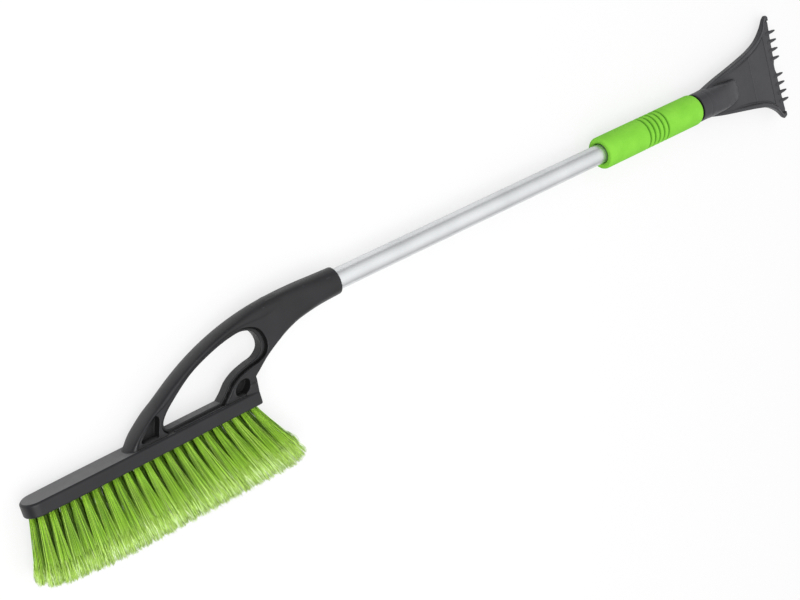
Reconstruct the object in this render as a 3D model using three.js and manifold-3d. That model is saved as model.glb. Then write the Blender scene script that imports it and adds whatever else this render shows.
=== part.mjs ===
// A car snow brush with an ice scraper: a moulded brush block with a loop handle, green bristles,
// an aluminium tube, a foam grip and a scraper head. Millimetres.
// The part lies on its side: X runs along the tube towards the scraper, Y points away from the
// bristles, and Z is up. Everything is drawn about the tube's axis and moved to the floor at the end.
import * as THREE from "three";
import { mergeVertices } from "three/addons/utils/BufferGeometryUtils.js";
import Module from "manifold-3d";

const wasm = await Module();
wasm.setup();

// ---- Driving dimensions -------------------------------------------------------------------------
const GAP = 0.3; // between pieces that touch

const TUBE = { radius: 9.5, wall: 1.2, start: 274, end: 806 };

const BLOCK = {
  start: -1.4,
  end: 212,
  halfWidth: 12.7,
  top: -54.5,
  bottom: -66.2,
  chamfer: 1.4,
  corner: 2.5,
  taper: 0.7, // how much slimmer the left end is on each side
};
const RECESS = { start: 1.2, end: 209, halfWidth: 10.6, depth: 3 };

const HANDLE = { halfWidth: 10, edgeRound: 3.6, rail: -52.6 };
const LIP = { halfWidth: 5.6, width: 0.8 }; // the raised edge round the hand loop
const SOCKET = { radius: 12.4, end: 314, boreStart: 272 };

const BRISTLES = {
  nodes: 4,
  columns: 21,
  firstColumn: 17.5,
  lastColumn: 200.9,
  outerRow: 7.9,
  tipY: -127,
  trim: { left: 50, leftSlope: 0.1, right: 222, rightSlope: 0.42 }, // shorter beyond these x
  perTuft: 6, // strands round the one in the middle of a tuft
  baseRing: 1.55,
  spread: [4.1, 5.1], // how far a tuft's outer tips stand from its middle one, along and across
  baseRadius: 0.7,
  tipRadius: 1.55,
};

const FOAM = {
  start: 635.6,
  end: 770.3,
  radius: 15.9,
  grooves: 5,
  grooveMiddle: 704.3,
  groovePitch: 6.4,
  grooveDepth: 1.3,
};

const SCRAPER = {
  turn: -3.5, // degrees that the head is turned about the tube
  neckStart: 770.9,
  neckRadius: 14,
  shoulder: 781,
  bodyRadius: 15.2,
  boreEnd: 808,
  bladeStart: 786,
  facetX: 865, // a faint crease across the blade
  creaseX: 898, // the bevel towards the edge begins here with a small step
  creaseStep: 0.5,
  edgeX: 912,
  edgeCurve: 560, // radius of the hollow line that the edge follows
  teeth: 4, // on each side of the middle
  toothPitch: 9.3,
  firstTooth: 9.2,
  toothLength: 9.4,
  toothZ: -11.1,
};

const SCREW = { headRadius: 3.6, headHeight: 2, shankRadius: 1.6, tipLength: 1.5 };

// ---- Solids -------------------------------------------------------------------------------------
function solidOf(geometry) {
  const plain = geometry.index ? geometry.toNonIndexed() : geometry.clone();
  plain.deleteAttribute("normal");
  plain.deleteAttribute("uv");
  const merged = mergeVertices(plain, 1e-4);
  const mesh = new wasm.Mesh({
    numProp: 3,
    vertProperties: new Float32Array(merged.attributes.position.array),
    triVerts: new Uint32Array(merged.index.array),
  });
  return new wasm.Manifold(mesh);
}

function geometryOf(solid) {
  const mesh = solid.getMesh();
  const positions = new Float32Array(mesh.numVert * 3);
  for (let i = 0; i < mesh.numVert; i += 1) {
    for (let k = 0; k < 3; k += 1) positions[3 * i + k] = mesh.vertProperties[mesh.numProp * i + k];
  }
  const geometry = new THREE.BufferGeometry();
  geometry.setAttribute("position", new THREE.BufferAttribute(positions, 3));
  geometry.setIndex(new THREE.BufferAttribute(new Uint32Array(mesh.triVerts), 1));
  const faceted = geometry.toNonIndexed();
  faceted.computeVertexNormals();
  return faceted;
}

// A closed geometry as a solid that faces out, whichever way round its faces were drawn.
function outwardSolid(geometry) {
  const solid = solidOf(geometry);
  if (solid.volume() > 0) return solid;
  geometry.setIndex(Array.from(geometry.index.array).reverse());
  return solidOf(geometry);
}

// A closed skin through rings of equal length, each ring going the same way round.
function loft(rings) {
  const count = rings[0].length;
  const indices = [];
  for (let r = 0; r + 1 < rings.length; r += 1) {
    for (let i = 0; i < count; i += 1) {
      const a = r * count + i;
      const b = r * count + ((i + 1) % count);
      indices.push(a, b, b + count, a, b + count, a + count);
    }
  }
  const last = (rings.length - 1) * count;
  for (const [a, b, c] of capTriangles(rings[0])) indices.push(a, c, b);
  for (const [a, b, c] of capTriangles(rings.at(-1))) indices.push(last + a, last + b, last + c);
  const geometry = new THREE.BufferGeometry().setFromPoints(rings.flat());
  geometry.setIndex(indices);
  return outwardSolid(geometry);
}

// Triangles of a flat ring, drawn in the plane it spans and kept in the ring's own direction.
function capTriangles(ring) {
  const normal = new THREE.Vector3();
  for (let i = 0; i < ring.length; i += 1) {
    const a = ring[i];
    const b = ring[(i + 1) % ring.length];
    normal.x += (a.y - b.y) * (a.z + b.z);
    normal.y += (a.z - b.z) * (a.x + b.x);
    normal.z += (a.x - b.x) * (a.y + b.y);
  }
  normal.normalize();
  const turn = new THREE.Quaternion().setFromUnitVectors(normal, new THREE.Vector3(0, 0, 1));
  const flat = ring.map((p) => {
    const q = p.clone().applyQuaternion(turn);
    return new THREE.Vector2(q.x, q.y);
  });
  return THREE.ShapeUtils.triangulateShape(flat, []);
}

function extrude(shape, from, to, options = {}) {
  const { round = 0, segments = 10, steps = 4 } = options;
  const geometry = new THREE.ExtrudeGeometry(shape, {
    depth: to - from - 2 * round,
    bevelEnabled: round > 0,
    bevelThickness: round,
    bevelSize: round,
    bevelOffset: -round,
    bevelSegments: steps,
    curveSegments: segments,
  });
  geometry.translate(0, 0, from + round);
  return solidOf(geometry);
}

// A body of revolution about the X axis; profile points are (x, radius).
function revolve(profile, segments = 40) {
  const points = profile.map(([x, radius]) => new THREE.Vector2(radius, x));
  const geometry = new THREE.LatheGeometry(points, segments);
  geometry.rotateZ(-Math.PI / 2);
  return outwardSolid(geometry);
}

function rod(from, to, radius, segments = 40) {
  return revolve([[from, 0], [from, radius], [to, radius], [to, 0]], segments);
}

// Corner points of a quarter round from one angle to another, in degrees.
function arc(centreX, centreY, radius, from, to, steps) {
  const points = [];
  for (let i = 0; i <= steps; i += 1) {
    const angle = THREE.MathUtils.degToRad(from + ((to - from) * i) / steps);
    points.push([centreX + radius * Math.cos(angle), centreY + radius * Math.sin(angle)]);
  }
  return points;
}

function vectors(pairs) {
  return pairs.map(([x, y]) => new THREE.Vector2(x, y));
}

// ---- Brush handle: block, loop handle and tube socket in one moulding ------------------------------
// Plan of the block or of its recess, as (x, z) pairs: a squared right end, straight sides that may
// draw in a little near the left, and a round left end.
function blockPlan({ start, end, halfWidth, corner, taper = 0 }) {
  const leftRadius = halfWidth - taper;
  const straight = start + 46;
  return [
    ...arc(start + leftRadius, 0, leftRadius, 90, 270, 16),
    [straight, -halfWidth],
    ...arc(end - corner, -halfWidth + corner, corner, 270, 360, 3),
    ...arc(end - corner, halfWidth - corner, corner, 0, 90, 3),
    [straight, halfWidth],
  ];
}

function planLoft(levels) {
  return loft(
    levels.map(({ y, ...plan }) =>
      blockPlan(plan).map(([x, z]) => new THREE.Vector3(x, y, z)),
    ),
  );
}

function blockSolid() {
  const { start, end, halfWidth, top, bottom, chamfer, corner, taper } = BLOCK;
  const inset = (by) => ({
    start: start + by,
    end: end - by,
    halfWidth: halfWidth - by,
    corner,
    taper,
  });
  const edge = 0.6;
  return planLoft([
    { y: bottom, ...inset(edge) },
    { y: bottom + edge, ...inset(0) },
    { y: top - chamfer, ...inset(0) },
    { y: top, ...inset(chamfer) },
  ]);
}

function recessSolid(inset) {
  const plan = {
    start: RECESS.start + inset,
    end: RECESS.end - inset,
    halfWidth: RECESS.halfWidth - inset,
    corner: 1.5,
  };
  const roof = BLOCK.bottom + RECESS.depth - inset;
  return planLoft([
    { y: BLOCK.bottom - (inset ? 0 : 1), ...plan },
    { y: roof, ...plan },
  ]);
}

// The foot at the right end widens down to the block over a short gusset.
function gussetSolid() {
  const end = BLOCK.end - 0.3;
  const levels = [
    [-43.5, 209.5, 8],
    [-48, 208, 10.6],
    [BLOCK.top - 0.6, 206, 12],
  ];
  return loft(
    levels.map(([y, start, half]) =>
      [[start, half], [end, half], [end, -half], [start, -half]].map(
        ([x, z]) => new THREE.Vector3(x, y, z),
      ),
    ),
  );
}

function handleSideShape() {
  const shape = new THREE.Shape();
  shape.moveTo(86, -62);
  shape.lineTo(88.5, -54.5);
  shape.splineThru(vectors([
    [97, -46.6],
    [107.4, -38.6],
    [119.9, -30.3],
    [143.7, -16.2],
    [169.9, -4],
    [196.3, 4.9],
    [224.8, 11.2],
    [250, 13.4],
    [264, 12.4],
  ]));
  shape.lineTo(283, 5);
  shape.lineTo(283, -6);
  shape.lineTo(270, -13.4);
  shape.splineThru(vectors([
    [260, -18.2],
    [249, -23.6],
    [232, -33],
    [221, -41.2],
    [214.4, -46],
  ]));
  shape.lineTo(211.7, -49);
  shape.lineTo(211.7, -62);
  shape.lineTo(86, -62);
  shape.holes.push(new THREE.Path(loopOutline(0)));
  return shape;
}

// The hand loop's outline, moved inwards by the given distance.
function loopOutline(inset) {
  const outline = new THREE.Path();
  outline.moveTo(128, HANDLE.rail);
  outline.lineTo(178, HANDLE.rail);
  outline.splineThru(vectors([
    [184.5, -47.4],
    [191, -41],
    [200, -36],
    [211, -32.9],
    [220.6, -30.8],
    [227.6, -25],
    [228.9, -16.9],
    [225.2, -8],
    [217, -3.2],
    [206, -2.9],
    [186, -7.2],
    [160.5, -17],
    [137, -32.6],
    [126.6, -42.6],
    [125, -49],
    [128, HANDLE.rail],
  ]));
  const points = outline.getPoints(5).slice(0, -1);
  return points.map((point, i) => {
    const before = points[(i + points.length - 1) % points.length];
    const after = points[(i + 1) % points.length];
    const along = after.clone().sub(before).normalize();
    return new THREE.Vector2(point.x - inset * along.y, point.y + inset * along.x);
  });
}

function lipSolid() {
  const ring = new THREE.Shape(loopOutline(-1.5));
  ring.holes.push(new THREE.Path(loopOutline(LIP.width)));
  return extrude(ring, -LIP.halfWidth, LIP.halfWidth);
}

// Rings across X for a loft. Each station is (x, centre y, half height, centre z, half width, power):
// a power of 2 is an ellipse, and a larger one is squarer.
function crossRings(stations, sides) {
  return stations.map(([x, y, high, z, wide, power = 2]) =>
    Array.from({ length: sides }, (_, i) => {
      const angle = (2 * Math.PI * (i + 0.5)) / sides;
      const across = Math.sign(Math.cos(angle)) * Math.abs(Math.cos(angle)) ** (2 / power);
      const up = Math.sign(Math.sin(angle)) * Math.abs(Math.sin(angle)) ** (2 / power);
      return new THREE.Vector3(x, y + high * across, z + wide * up);
    }),
  );
}

// The handle's squared section turns into the round socket.
function socketSolid() {
  const { radius, end } = SOCKET;
  const stations = [
    [243, -6.9, 19.3, 0, 9.7, 4.6],
    [250, -5, 17.7, 0, 10, 4],
    [258, -3.2, 16.3, 0, 10.3, 3.5],
    [268, -1.6, 14.9, 0, 10.8, 3],
    [280, -0.6, 13.9, 0, 11.4, 2.6],
    [294, -0.1, 13, 0, 12, 2.2],
    [end - 1, 0, radius, 0, radius],
    [end, 0, radius - 0.8, 0, radius - 0.8],
  ];
  return loft(crossRings(stations, 40));
}

// Blind core-outs in both faces of the two feet, with a web left between them.
function footPockets() {
  const front = new THREE.Shape();
  front.moveTo(104, -52.2);
  front.lineTo(117.6, -52.8);
  front.quadraticCurveTo(119.4, -47.5, 121.8, -41.5);
  front.quadraticCurveTo(123.4, -36.4, 120.6, -35);
  front.quadraticCurveTo(117.5, -34.6, 111, -41);
  front.quadraticCurveTo(104, -47, 102.4, -49.6);
  front.quadraticCurveTo(101.8, -52, 104, -52.2);
  const rear = new THREE.Shape();
  rear.absellipse(197.2, -45.6, 7.6, 5.6, 0, 2 * Math.PI, false, THREE.MathUtils.degToRad(30));
  const web = 3;
  const cuts = [];
  for (const shape of [front, rear]) {
    cuts.push(extrude(shape, web, 20, { segments: 6 }));
    cuts.push(extrude(shape, -20, -web, { segments: 6 }));
  }
  return wasm.Manifold.union(cuts);
}

function brushHandle() {
  const side = extrude(handleSideShape(), -HANDLE.halfWidth, HANDLE.halfWidth, {
    round: HANDLE.edgeRound,
    segments: 5,
    steps: 4,
  });
  const pieces = [side, lipSolid(), blockSolid(), gussetSolid(), socketSolid()];
  const body = wasm.Manifold.union(pieces);
  const bore = rod(SOCKET.boreStart, SOCKET.end + 5, TUBE.radius + GAP);
  const cuts = wasm.Manifold.union([footPockets(), recessSolid(0), bore, screwHole(SOCKET_SCREW)]);
  return body.subtract(cuts);
}

// ---- Bristles -----------------------------------------------------------------------------------
// A repeatable value from -1 to 1 for each whole number.
function scatter(number) {
  const value = Math.sin(number * 127.1 + 11.7) * 43758.5453;
  return 2 * (value - Math.floor(value)) - 1;
}

// Centres of the tufts as (x, z): two outer rows, a staggered middle row and the round left end.
function tuftCentres() {
  const { columns, firstColumn, lastColumn, outerRow } = BRISTLES;
  const pitch = (lastColumn - firstColumn) / (columns - 1);
  const centres = [];
  for (let i = 0; i < columns; i += 1) {
    centres.push([firstColumn + pitch * i, outerRow]);
    centres.push([firstColumn + pitch * i, -outerRow]);
    centres.push([firstColumn + pitch * (i - 0.5), 0]);
  }
  centres.push([lastColumn + pitch * 0.45, 0]);
  centres.push([firstColumn - pitch * 0.94, 6.2]);
  centres.push([firstColumn - pitch * 0.94, -6.2]);
  centres.push([firstColumn - pitch * 1.43, 0]);
  return centres;
}

// The bristles fan out: a point of the block's underside goes to this point of the tips' plane.
// The tufts of the round left end lean out a little more than the rows do.
function fanOut([x, z]) {
  const shift = 0.18 * (x - 5) - 8;
  const endLean = 0.16 * Math.max(0, 12 - x);
  return [x + shift - endLean, z * 1.95];
}

// How much shorter the strands are at the two ends of the brush.
function trimAt(x) {
  const { left, leftSlope, right, rightSlope } = BRISTLES.trim;
  return leftSlope * Math.max(0, left - x) + rightSlope * Math.max(0, x - right);
}

function strandSolid(base, tip, tipY, turn) {
  const root = BLOCK.bottom + 1;
  const ring = ([x, z], y, radius) =>
    [0, 1, 2].map((i) => {
      const angle = turn + (2 * Math.PI * i) / 3;
      return new THREE.Vector3(x + radius * Math.cos(angle), y, z + radius * Math.sin(angle));
    });
  const share = (BLOCK.bottom - root) / (tipY - root);
  const start = base.map((value, k) => value - (tip[k] - value) * share);
  return loft([ring(start, root, BRISTLES.baseRadius), ring(tip, tipY, BRISTLES.tipRadius)]);
}

function tuftStrands(centre, number) {
  const { perTuft, baseRing, spread } = BRISTLES;
  const tipCentre = fanOut(centre);
  const strands = [];
  for (let i = 0; i <= perTuft; i += 1) {
    const angle = (2 * Math.PI * (i + 0.5 * (number % 2))) / perTuft;
    const offset = i < perTuft ? [Math.cos(angle), Math.sin(angle)] : [0, 0];
    const base = centre.map((value, k) => value + baseRing * offset[k]);
    const tip = tipCentre.map((value, k) => value + spread[k] * offset[k]);
    const tipY = BRISTLES.tipY + trimAt(tip[0]) + 1.8 * scatter(number * 7 + i);
    strands.push(strandSolid(base, tip, tipY, scatter(number * 13 + i) * Math.PI));
  }
  return strands;
}

function bristleNodes() {
  const { nodes, columns, firstColumn, lastColumn } = BRISTLES;
  const pitch = (lastColumn - firstColumn) / (columns - 1);
  const strip = recessSolid(GAP);
  const edges = [-10];
  for (let n = 1; n < nodes; n += 1) {
    edges.push(firstColumn + pitch * (Math.round((columns * n) / nodes) - 0.25));
  }
  edges.push(BLOCK.end + 10);
  const tufts = tuftCentres();
  return Array.from({ length: nodes }, (_, n) => {
    const from = edges[n] + GAP / 2;
    const to = edges[n + 1] - GAP / 2;
    const slab = new THREE.BoxGeometry(to - from, 20, 40);
    slab.translate((from + to) / 2, BLOCK.bottom, 0);
    const slice = strip.intersect(solidOf(slab));
    const strands = tufts.flatMap((centre, i) => {
      const inSlice = centre[0] > edges[n] && centre[0] <= edges[n + 1];
      return inSlice ? tuftStrands(centre, i) : [];
    });
    return {
      name: `bristles_${n + 1}`,
      solid: wasm.Manifold.union([slice, ...strands]),
    };
  });
}

// ---- Tube, foam grip and screws --------------------------------------------------------------------
function tubeSolid() {
  const { radius, wall, start, end } = TUBE;
  const hollow = rod(start - 1, end + 1, radius - wall);
  return rod(start, end, radius)
    .subtract(hollow)
    .subtract(screwHole(SOCKET_SCREW))
    .subtract(headTurned(screwHole(NECK_SCREW)));
}

function foamGrip() {
  const { start, end, radius, grooves, grooveMiddle, groovePitch, grooveDepth } = FOAM;
  const inner = TUBE.radius + GAP;
  const profile = [[start + 4.6, inner], [start + 3.6, inner + 0.6], [start + 1.6, inner + 1.6]];
  profile.push([start + 0.3, inner + 2.7]);
  profile.push(...arc(start + 2.4, radius - 2.6, 2.6, 160, 90, 5));
  for (let i = 0; i < grooves; i += 1) {
    const x = grooveMiddle + groovePitch * (i - (grooves - 1) / 2);
    const lip = 1.15;
    profile.push([x - lip, radius], [x - lip * 0.45, radius - grooveDepth * 0.8]);
    profile.push([x, radius - grooveDepth]);
    profile.push([x + lip * 0.45, radius - grooveDepth * 0.8], [x + lip, radius]);
  }
  profile.push(...arc(end - 5.5, radius - 5.5, 5.5, 90, 0, 7));
  profile.push([end, inner + 0.8], [end - 1, inner]);
  profile.push([start + 4.6, inner]);
  return revolve(profile, 32);
}

// Pan-head self-tapping screws driven up into the round pieces from below: their place along the
// tube, and how far under its axis their heads sit and their tips reach.
const SOCKET_SCREW = { x: 300, seat: 11.2, tip: 6.6 };
const NECK_SCREW = { x: 793, seat: 14.2, tip: 6.6 };

function onScrewAxis(profile, x) {
  return revolve(profile, 20).rotate([0, -90, 0]).translate([x, 0, 0]);
}

function screwHole({ x, seat, tip }) {
  const head = SCREW.headRadius + GAP;
  const shank = SCREW.shankRadius + GAP;
  const outside = seat + SCREW.headHeight + 6;
  const profile = [
    [-tip + 0.6, 0],
    [-tip - SCREW.tipLength, shank],
    [-seat + GAP, shank],
    [-seat + GAP, head],
    [-outside, head],
    [-outside, 0],
  ];
  return onScrewAxis(profile, x);
}

function screwSolid({ x, seat, tip }) {
  const { headRadius, headHeight, shankRadius, tipLength } = SCREW;
  const top = seat + headHeight;
  const profile = [
    [-tip, 0],
    [-tip - tipLength, shankRadius],
    [-seat, shankRadius],
    [-seat, headRadius],
    [-top + 1, headRadius],
    [-top + 0.3, headRadius * 0.72],
    [-top, headRadius * 0.4],
    [-top, 0],
  ];
  const slots = [0, 90].map((turn) => {
    const slot = new THREE.BoxGeometry(3.6, 0.9, 2);
    slot.rotateZ(THREE.MathUtils.degToRad(turn));
    slot.translate(x, 0, -top);
    return solidOf(slot);
  });
  return onScrewAxis(profile, x).subtract(wasm.Manifold.union(slots));
}

// The head is drawn level and then turned a little about the tube, as it was pushed on.
function headTurned(solid) {
  return solid.rotate([SCRAPER.turn, 0, 0]);
}

// ---- Scraper head -----------------------------------------------------------------------------------
// Half width of the blade at places along it.
const bladeHalfWidth = new THREE.SplineCurve(vectors([
  [SCRAPER.bladeStart, 14],
  [808, 19.4],
  [842, 25.9],
  [SCRAPER.facetX, 30.7],
  [884, 36.2],
  [SCRAPER.creaseX, 44.8],
  [906, 54],
]));

// Height of the blade's middle plane at places along it: it bends down at the facet.
const bladeMiddle = new THREE.SplineCurve(vectors([
  [SCRAPER.bladeStart, -0.3],
  [820, -1.5],
  [842, -3.1],
  [SCRAPER.facetX, -5.4],
  [884, -8],
  [SCRAPER.creaseX, -9.9],
  [SCRAPER.edgeX, -11.3],
]));

// The value of a curve at a place along the blade.
function valueAt(curve, x) {
  let low = 0;
  let high = 1;
  for (let i = 0; i < 30; i += 1) {
    const middle = (low + high) / 2;
    if (curve.getPoint(middle).x < x) low = middle;
    else high = middle;
  }
  return curve.getPoint((low + high) / 2).y;
}

function bladeSolid() {
  const { creaseX, edgeX } = SCRAPER;
  const steps = 18;
  const stations = [];
  for (let i = 0; i <= steps; i += 1) {
    const point = bladeHalfWidth.getPoint(i / steps);
    stations.push([point.x, point.y]);
    if (Math.abs(point.x - creaseX) < 0.01) stations.push([creaseX + 0.6, point.y + 0.5]);
  }
  stations.push([edgeX - 3, 56.2], [edgeX, 56], [edgeX + 1.7, 55.2], [edgeX + 2.7, 53.8]);
  return loft(stations.map(([x, half]) => bladeRing(x, half)));
}

// The blade's section across X: a plate with a raised rim along each side. It thins down to the
// facet and again over the bevel.
function bladeRing(x, half) {
  const { bladeStart, facetX, creaseX, creaseStep, edgeX } = SCRAPER;
  const { lerp, smoothstep } = THREE.MathUtils;
  const along = (x - bladeStart) / (edgeX - bladeStart);
  const toFacet = Math.min(1, (x - bladeStart) / (facetX - bladeStart));
  const bevel = Math.min(1, Math.max(0, (x - creaseX) / (edgeX - creaseX)));
  const middle = valueAt(bladeMiddle, x);
  const thick = lerp(lerp(9.4, 4.4, toFacet), 2.6, bevel);
  const rise = smoothstep(along, 0.15, 0.55) * 2.6 * (1 - 0.65 * bevel);
  const rim = lerp(2.4, 4.6, along);
  const low = middle - thick / 2;
  const top = middle + thick / 2;
  const high = x > creaseX ? top - creaseStep : top;
  const inner = half - rim - rise * 0.9 - 0.6;
  const side = [
    [half - 0.8, low],
    [half, low + 0.8],
    [half, top + rise - 0.9],
    [half - 0.9, top + rise],
    [half - rim, top + rise * 0.8],
    [inner, high],
  ];
  const mirrored = side.map(([y, z]) => [-y, z]).reverse();
  return [...side, ...mirrored].map(([y, z]) => new THREE.Vector3(x, y, z));
}

// Where the scraping edge lies at a distance from its middle.
function edgeAt(y) {
  return SCRAPER.edgeX + (y * y) / (2 * SCRAPER.edgeCurve);
}

function toothSolid(y) {
  const { toothLength, toothZ } = SCRAPER;
  const root = edgeAt(y);
  const stations = [
    [root - 6, y, 2.4, toothZ, 1.8],
    [root - 1, y, 2.3, toothZ, 1.8],
    [root + toothLength * 0.5, y, 1.8, toothZ, 1.4],
    [root + toothLength - 1, y, 1.1, toothZ, 0.8],
    [root + toothLength, y, 0.6, toothZ, 0.4],
  ];
  return loft(crossRings(stations, 10));
}

// The neck runs out over the blade as a hump that slopes down to it.
function humpSolid() {
  const { shoulder, bodyRadius } = SCRAPER;
  const stations = [
    [shoulder, 0, bodyRadius - 1.2, 0, bodyRadius - 1.2],
    [shoulder + 1.4, 0, bodyRadius, 0, bodyRadius],
    [790, 0, 15, 0, 15.2, 2],
    [798, 0, 14.8, -0.1, 15, 2.3],
    [808.5, 0, 14.2, -0.6, 13.8, 3],
    [818, 0, 13.3, -1.2, 11.9, 3.4],
    [826.6, 0, 12.6, -1.8, 9.5, 3.6],
    [833.4, 0, 11.8, -2.6, 6.7, 3.4],
    [839.4, 0, 10.2, -3.4, 3.4, 2.6],
  ];
  return loft(crossRings(stations, 32));
}

function scraperHead() {
  const { neckStart, neckRadius, shoulder, boreEnd } = SCRAPER;
  const { edgeX, edgeCurve, teeth, toothPitch, firstTooth, toothZ } = SCRAPER;
  const neck = revolve([
    [neckStart, 0],
    [neckStart, neckRadius - 0.6],
    [neckStart + 0.6, neckRadius],
    [shoulder + 1, neckRadius],
    [shoulder + 1, 0],
  ]);
  const notch = new THREE.Shape();
  notch.absarc(edgeX + 10.4, 0, 12, 0, 2 * Math.PI);
  const edgeLine = new THREE.Shape();
  edgeLine.moveTo(edgeX + 60, 80);
  edgeLine.absarc(edgeX + edgeCurve, 0, edgeCurve, Math.PI - 0.12, Math.PI + 0.12);
  edgeLine.lineTo(edgeX + 60, -80);
  const hollows = [notch, edgeLine].map((plan) => extrude(plan, -20, 0, { segments: 24 }));
  const roots = [];
  for (const side of [-1, 1]) {
    for (let i = 0; i < teeth; i += 1) {
      const y = side * (firstTooth + toothPitch * i);
      const dimple = new THREE.SphereGeometry(2, 10, 6);
      dimple.translate(edgeAt(y) - 3.6, y, toothZ + 2.6);
      hollows.push(solidOf(dimple));
      roots.push(toothSolid(y));
    }
  }
  const blade = bladeSolid().subtract(wasm.Manifold.union(hollows));
  const body = wasm.Manifold.union([neck, humpSolid(), blade, ...roots]);
  const bore = rod(neckStart - 5, boreEnd, TUBE.radius + GAP);
  return headTurned(body.subtract(wasm.Manifold.union([bore, screwHole(NECK_SCREW)])));
}

// ---- Assembly -----------------------------------------------------------------------------------
const BLACK_PLASTIC = { color: 0x3a3a3d, roughness: 0.5, metalness: 0 };
const BRISTLE = { color: 0x7cc63c, roughness: 0.7, metalness: 0 };
const ALUMINIUM = { color: 0xc4c8cc, roughness: 0.35, metalness: 0.9 };
const FOAM_RUBBER = { color: 0x86d64a, roughness: 0.9, metalness: 0 };
const STEEL = { color: 0xb0b2b5, roughness: 0.35, metalness: 0.9 };

const part = new THREE.Group();

function addMesh(name, solid, finish) {
  const made = new THREE.Mesh(geometryOf(solid), new THREE.MeshStandardMaterial(finish));
  made.name = name;
  part.add(made);
}

addMesh("brush_handle", brushHandle(), BLACK_PLASTIC);
for (const { name, solid } of bristleNodes()) addMesh(name, solid, BRISTLE);
addMesh("tube", tubeSolid(), ALUMINIUM);
addMesh("foam_grip", foamGrip(), FOAM_RUBBER);
addMesh("scraper_head", scraperHead(), BLACK_PLASTIC);
addMesh("socket_screw", screwSolid(SOCKET_SCREW), STEEL);
addMesh("neck_screw", headTurned(screwSolid(NECK_SCREW)), STEEL);

// The lowest point rests on the floor, and the middle of the outline is over the origin.
const box = new THREE.Box3().setFromObject(part);
const centre = box.getCenter(new THREE.Vector3());
part.position.set(-centre.x, -centre.y, -box.min.z);

const placed = new THREE.Group();
placed.add(part);
export default placed;
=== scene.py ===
"""The looks of a car snow brush with an ice scraper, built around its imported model.

Shapes are drawn in millimetres about the tube's axis, as a maker's drawing of the brush would be:
X runs along the tube towards the scraper, Y points away from the bristles and Z is up. The tube's
box in the frame says where that drawing lies.
"""

import math

import bmesh
import bpy
import numpy as np
from mathutils import Euler, Matrix, Vector


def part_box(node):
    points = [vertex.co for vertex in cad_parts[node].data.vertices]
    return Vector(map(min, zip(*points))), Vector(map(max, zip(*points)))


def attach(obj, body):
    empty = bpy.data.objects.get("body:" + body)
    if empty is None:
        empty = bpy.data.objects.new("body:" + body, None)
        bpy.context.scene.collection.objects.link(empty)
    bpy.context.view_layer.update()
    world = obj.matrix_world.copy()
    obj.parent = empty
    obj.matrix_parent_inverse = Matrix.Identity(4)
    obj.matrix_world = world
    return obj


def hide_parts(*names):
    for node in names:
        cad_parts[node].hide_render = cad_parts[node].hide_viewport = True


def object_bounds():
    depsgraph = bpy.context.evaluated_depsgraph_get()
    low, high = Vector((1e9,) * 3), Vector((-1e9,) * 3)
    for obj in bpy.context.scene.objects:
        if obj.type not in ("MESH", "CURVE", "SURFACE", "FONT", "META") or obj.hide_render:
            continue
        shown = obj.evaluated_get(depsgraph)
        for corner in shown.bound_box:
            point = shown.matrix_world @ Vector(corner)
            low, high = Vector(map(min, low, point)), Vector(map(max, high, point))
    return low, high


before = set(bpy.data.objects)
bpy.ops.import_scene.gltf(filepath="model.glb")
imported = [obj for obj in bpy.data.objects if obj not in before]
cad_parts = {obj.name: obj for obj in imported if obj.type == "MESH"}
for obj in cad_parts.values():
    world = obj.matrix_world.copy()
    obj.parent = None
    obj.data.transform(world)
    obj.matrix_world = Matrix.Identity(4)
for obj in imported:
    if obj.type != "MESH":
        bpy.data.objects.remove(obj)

CAD_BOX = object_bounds()
MM = 0.001
rng = np.random.default_rng(7)


# ---- The drawing's own sizes, in millimetres ---------------------------------
TUBE_START = 274.0  # the tube's left end, hidden in the handle's socket
TUBE_RADIUS = 9.5
TUBE_WALL = 1.2

BLOCK_START, BLOCK_END = -1.4, 212.0
BLOCK_HALF_WIDTH = 12.7
BLOCK_TOP, BLOCK_BOTTOM = -54.5, -66.2
BLOCK_CHAMFER, BLOCK_TAPER = 1.4, 0.7
RECESS_START, RECESS_END = 1.2, 209.0
RECESS_HALF_WIDTH, RECESS_DEPTH = 10.6, 3.0

HANDLE_HALF_WIDTH = 10.0
PLATE_HALF_WIDTH = 8.9  # of the flat panels between the handle's thicker parts
LOW_EDGE = 4.4  # half the thickness of the bar along the handle's lower edge
RAIL_TOP = -52.6
LIP_HALF_WIDTH, LIP_WIDTH = 5.6, 0.8
SOCKET_END, BORE_START = 314.0, 272.0
CHANNEL_WIDTH, CHANNEL_FLOOR = 0.9, 4.3  # the groove that sets the lip off, and its half width
POCKET_WEB, POCKET_RIM = 0.8, 0.6
BORE_CLEARANCE = 0.3
OUTSIDE = 20.0  # a height beyond every face, for tools that cut from there

TUFT_COLUMNS = 21
FIRST_TUFT, LAST_TUFT = 17.5, 200.9
TUFT_PITCH = (LAST_TUFT - FIRST_TUFT) / (TUFT_COLUMNS - 1)
OUTER_ROW = 7.9
TIP_Y = -127.0
TRIM_LEFT, TRIM_LEFT_SLOPE = 50.0, 0.1  # the tips are cut shorter beyond these x
TRIM_RIGHT, TRIM_RIGHT_SLOPE = 222.0, 0.42
TUFT_HOLE = 2.0  # radius of the hole that holds a tuft
TUFT_SPREAD = (7.2, 4.6)  # how far a tuft's tips stand from its middle, along and across
TIP_LIMIT = 21.0  # how far to each side a strand may reach
GOLDEN_ANGLE = 2.39996
STRANDS_A_TUFT = 84
STRAND_RADIUS = 0.22
SPLIT_AT = 0.76  # the share of a strand's length where its end begins to split

FOAM_START, FOAM_END = 635.6, 770.3
FOAM_RADIUS = 15.9
FOAM_GROOVES, FOAM_GROOVE_PITCH, FOAM_GROOVE_DEPTH = 5, 6.4, 2.3
FOAM_GROOVE_MIDDLE = 704.3

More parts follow.
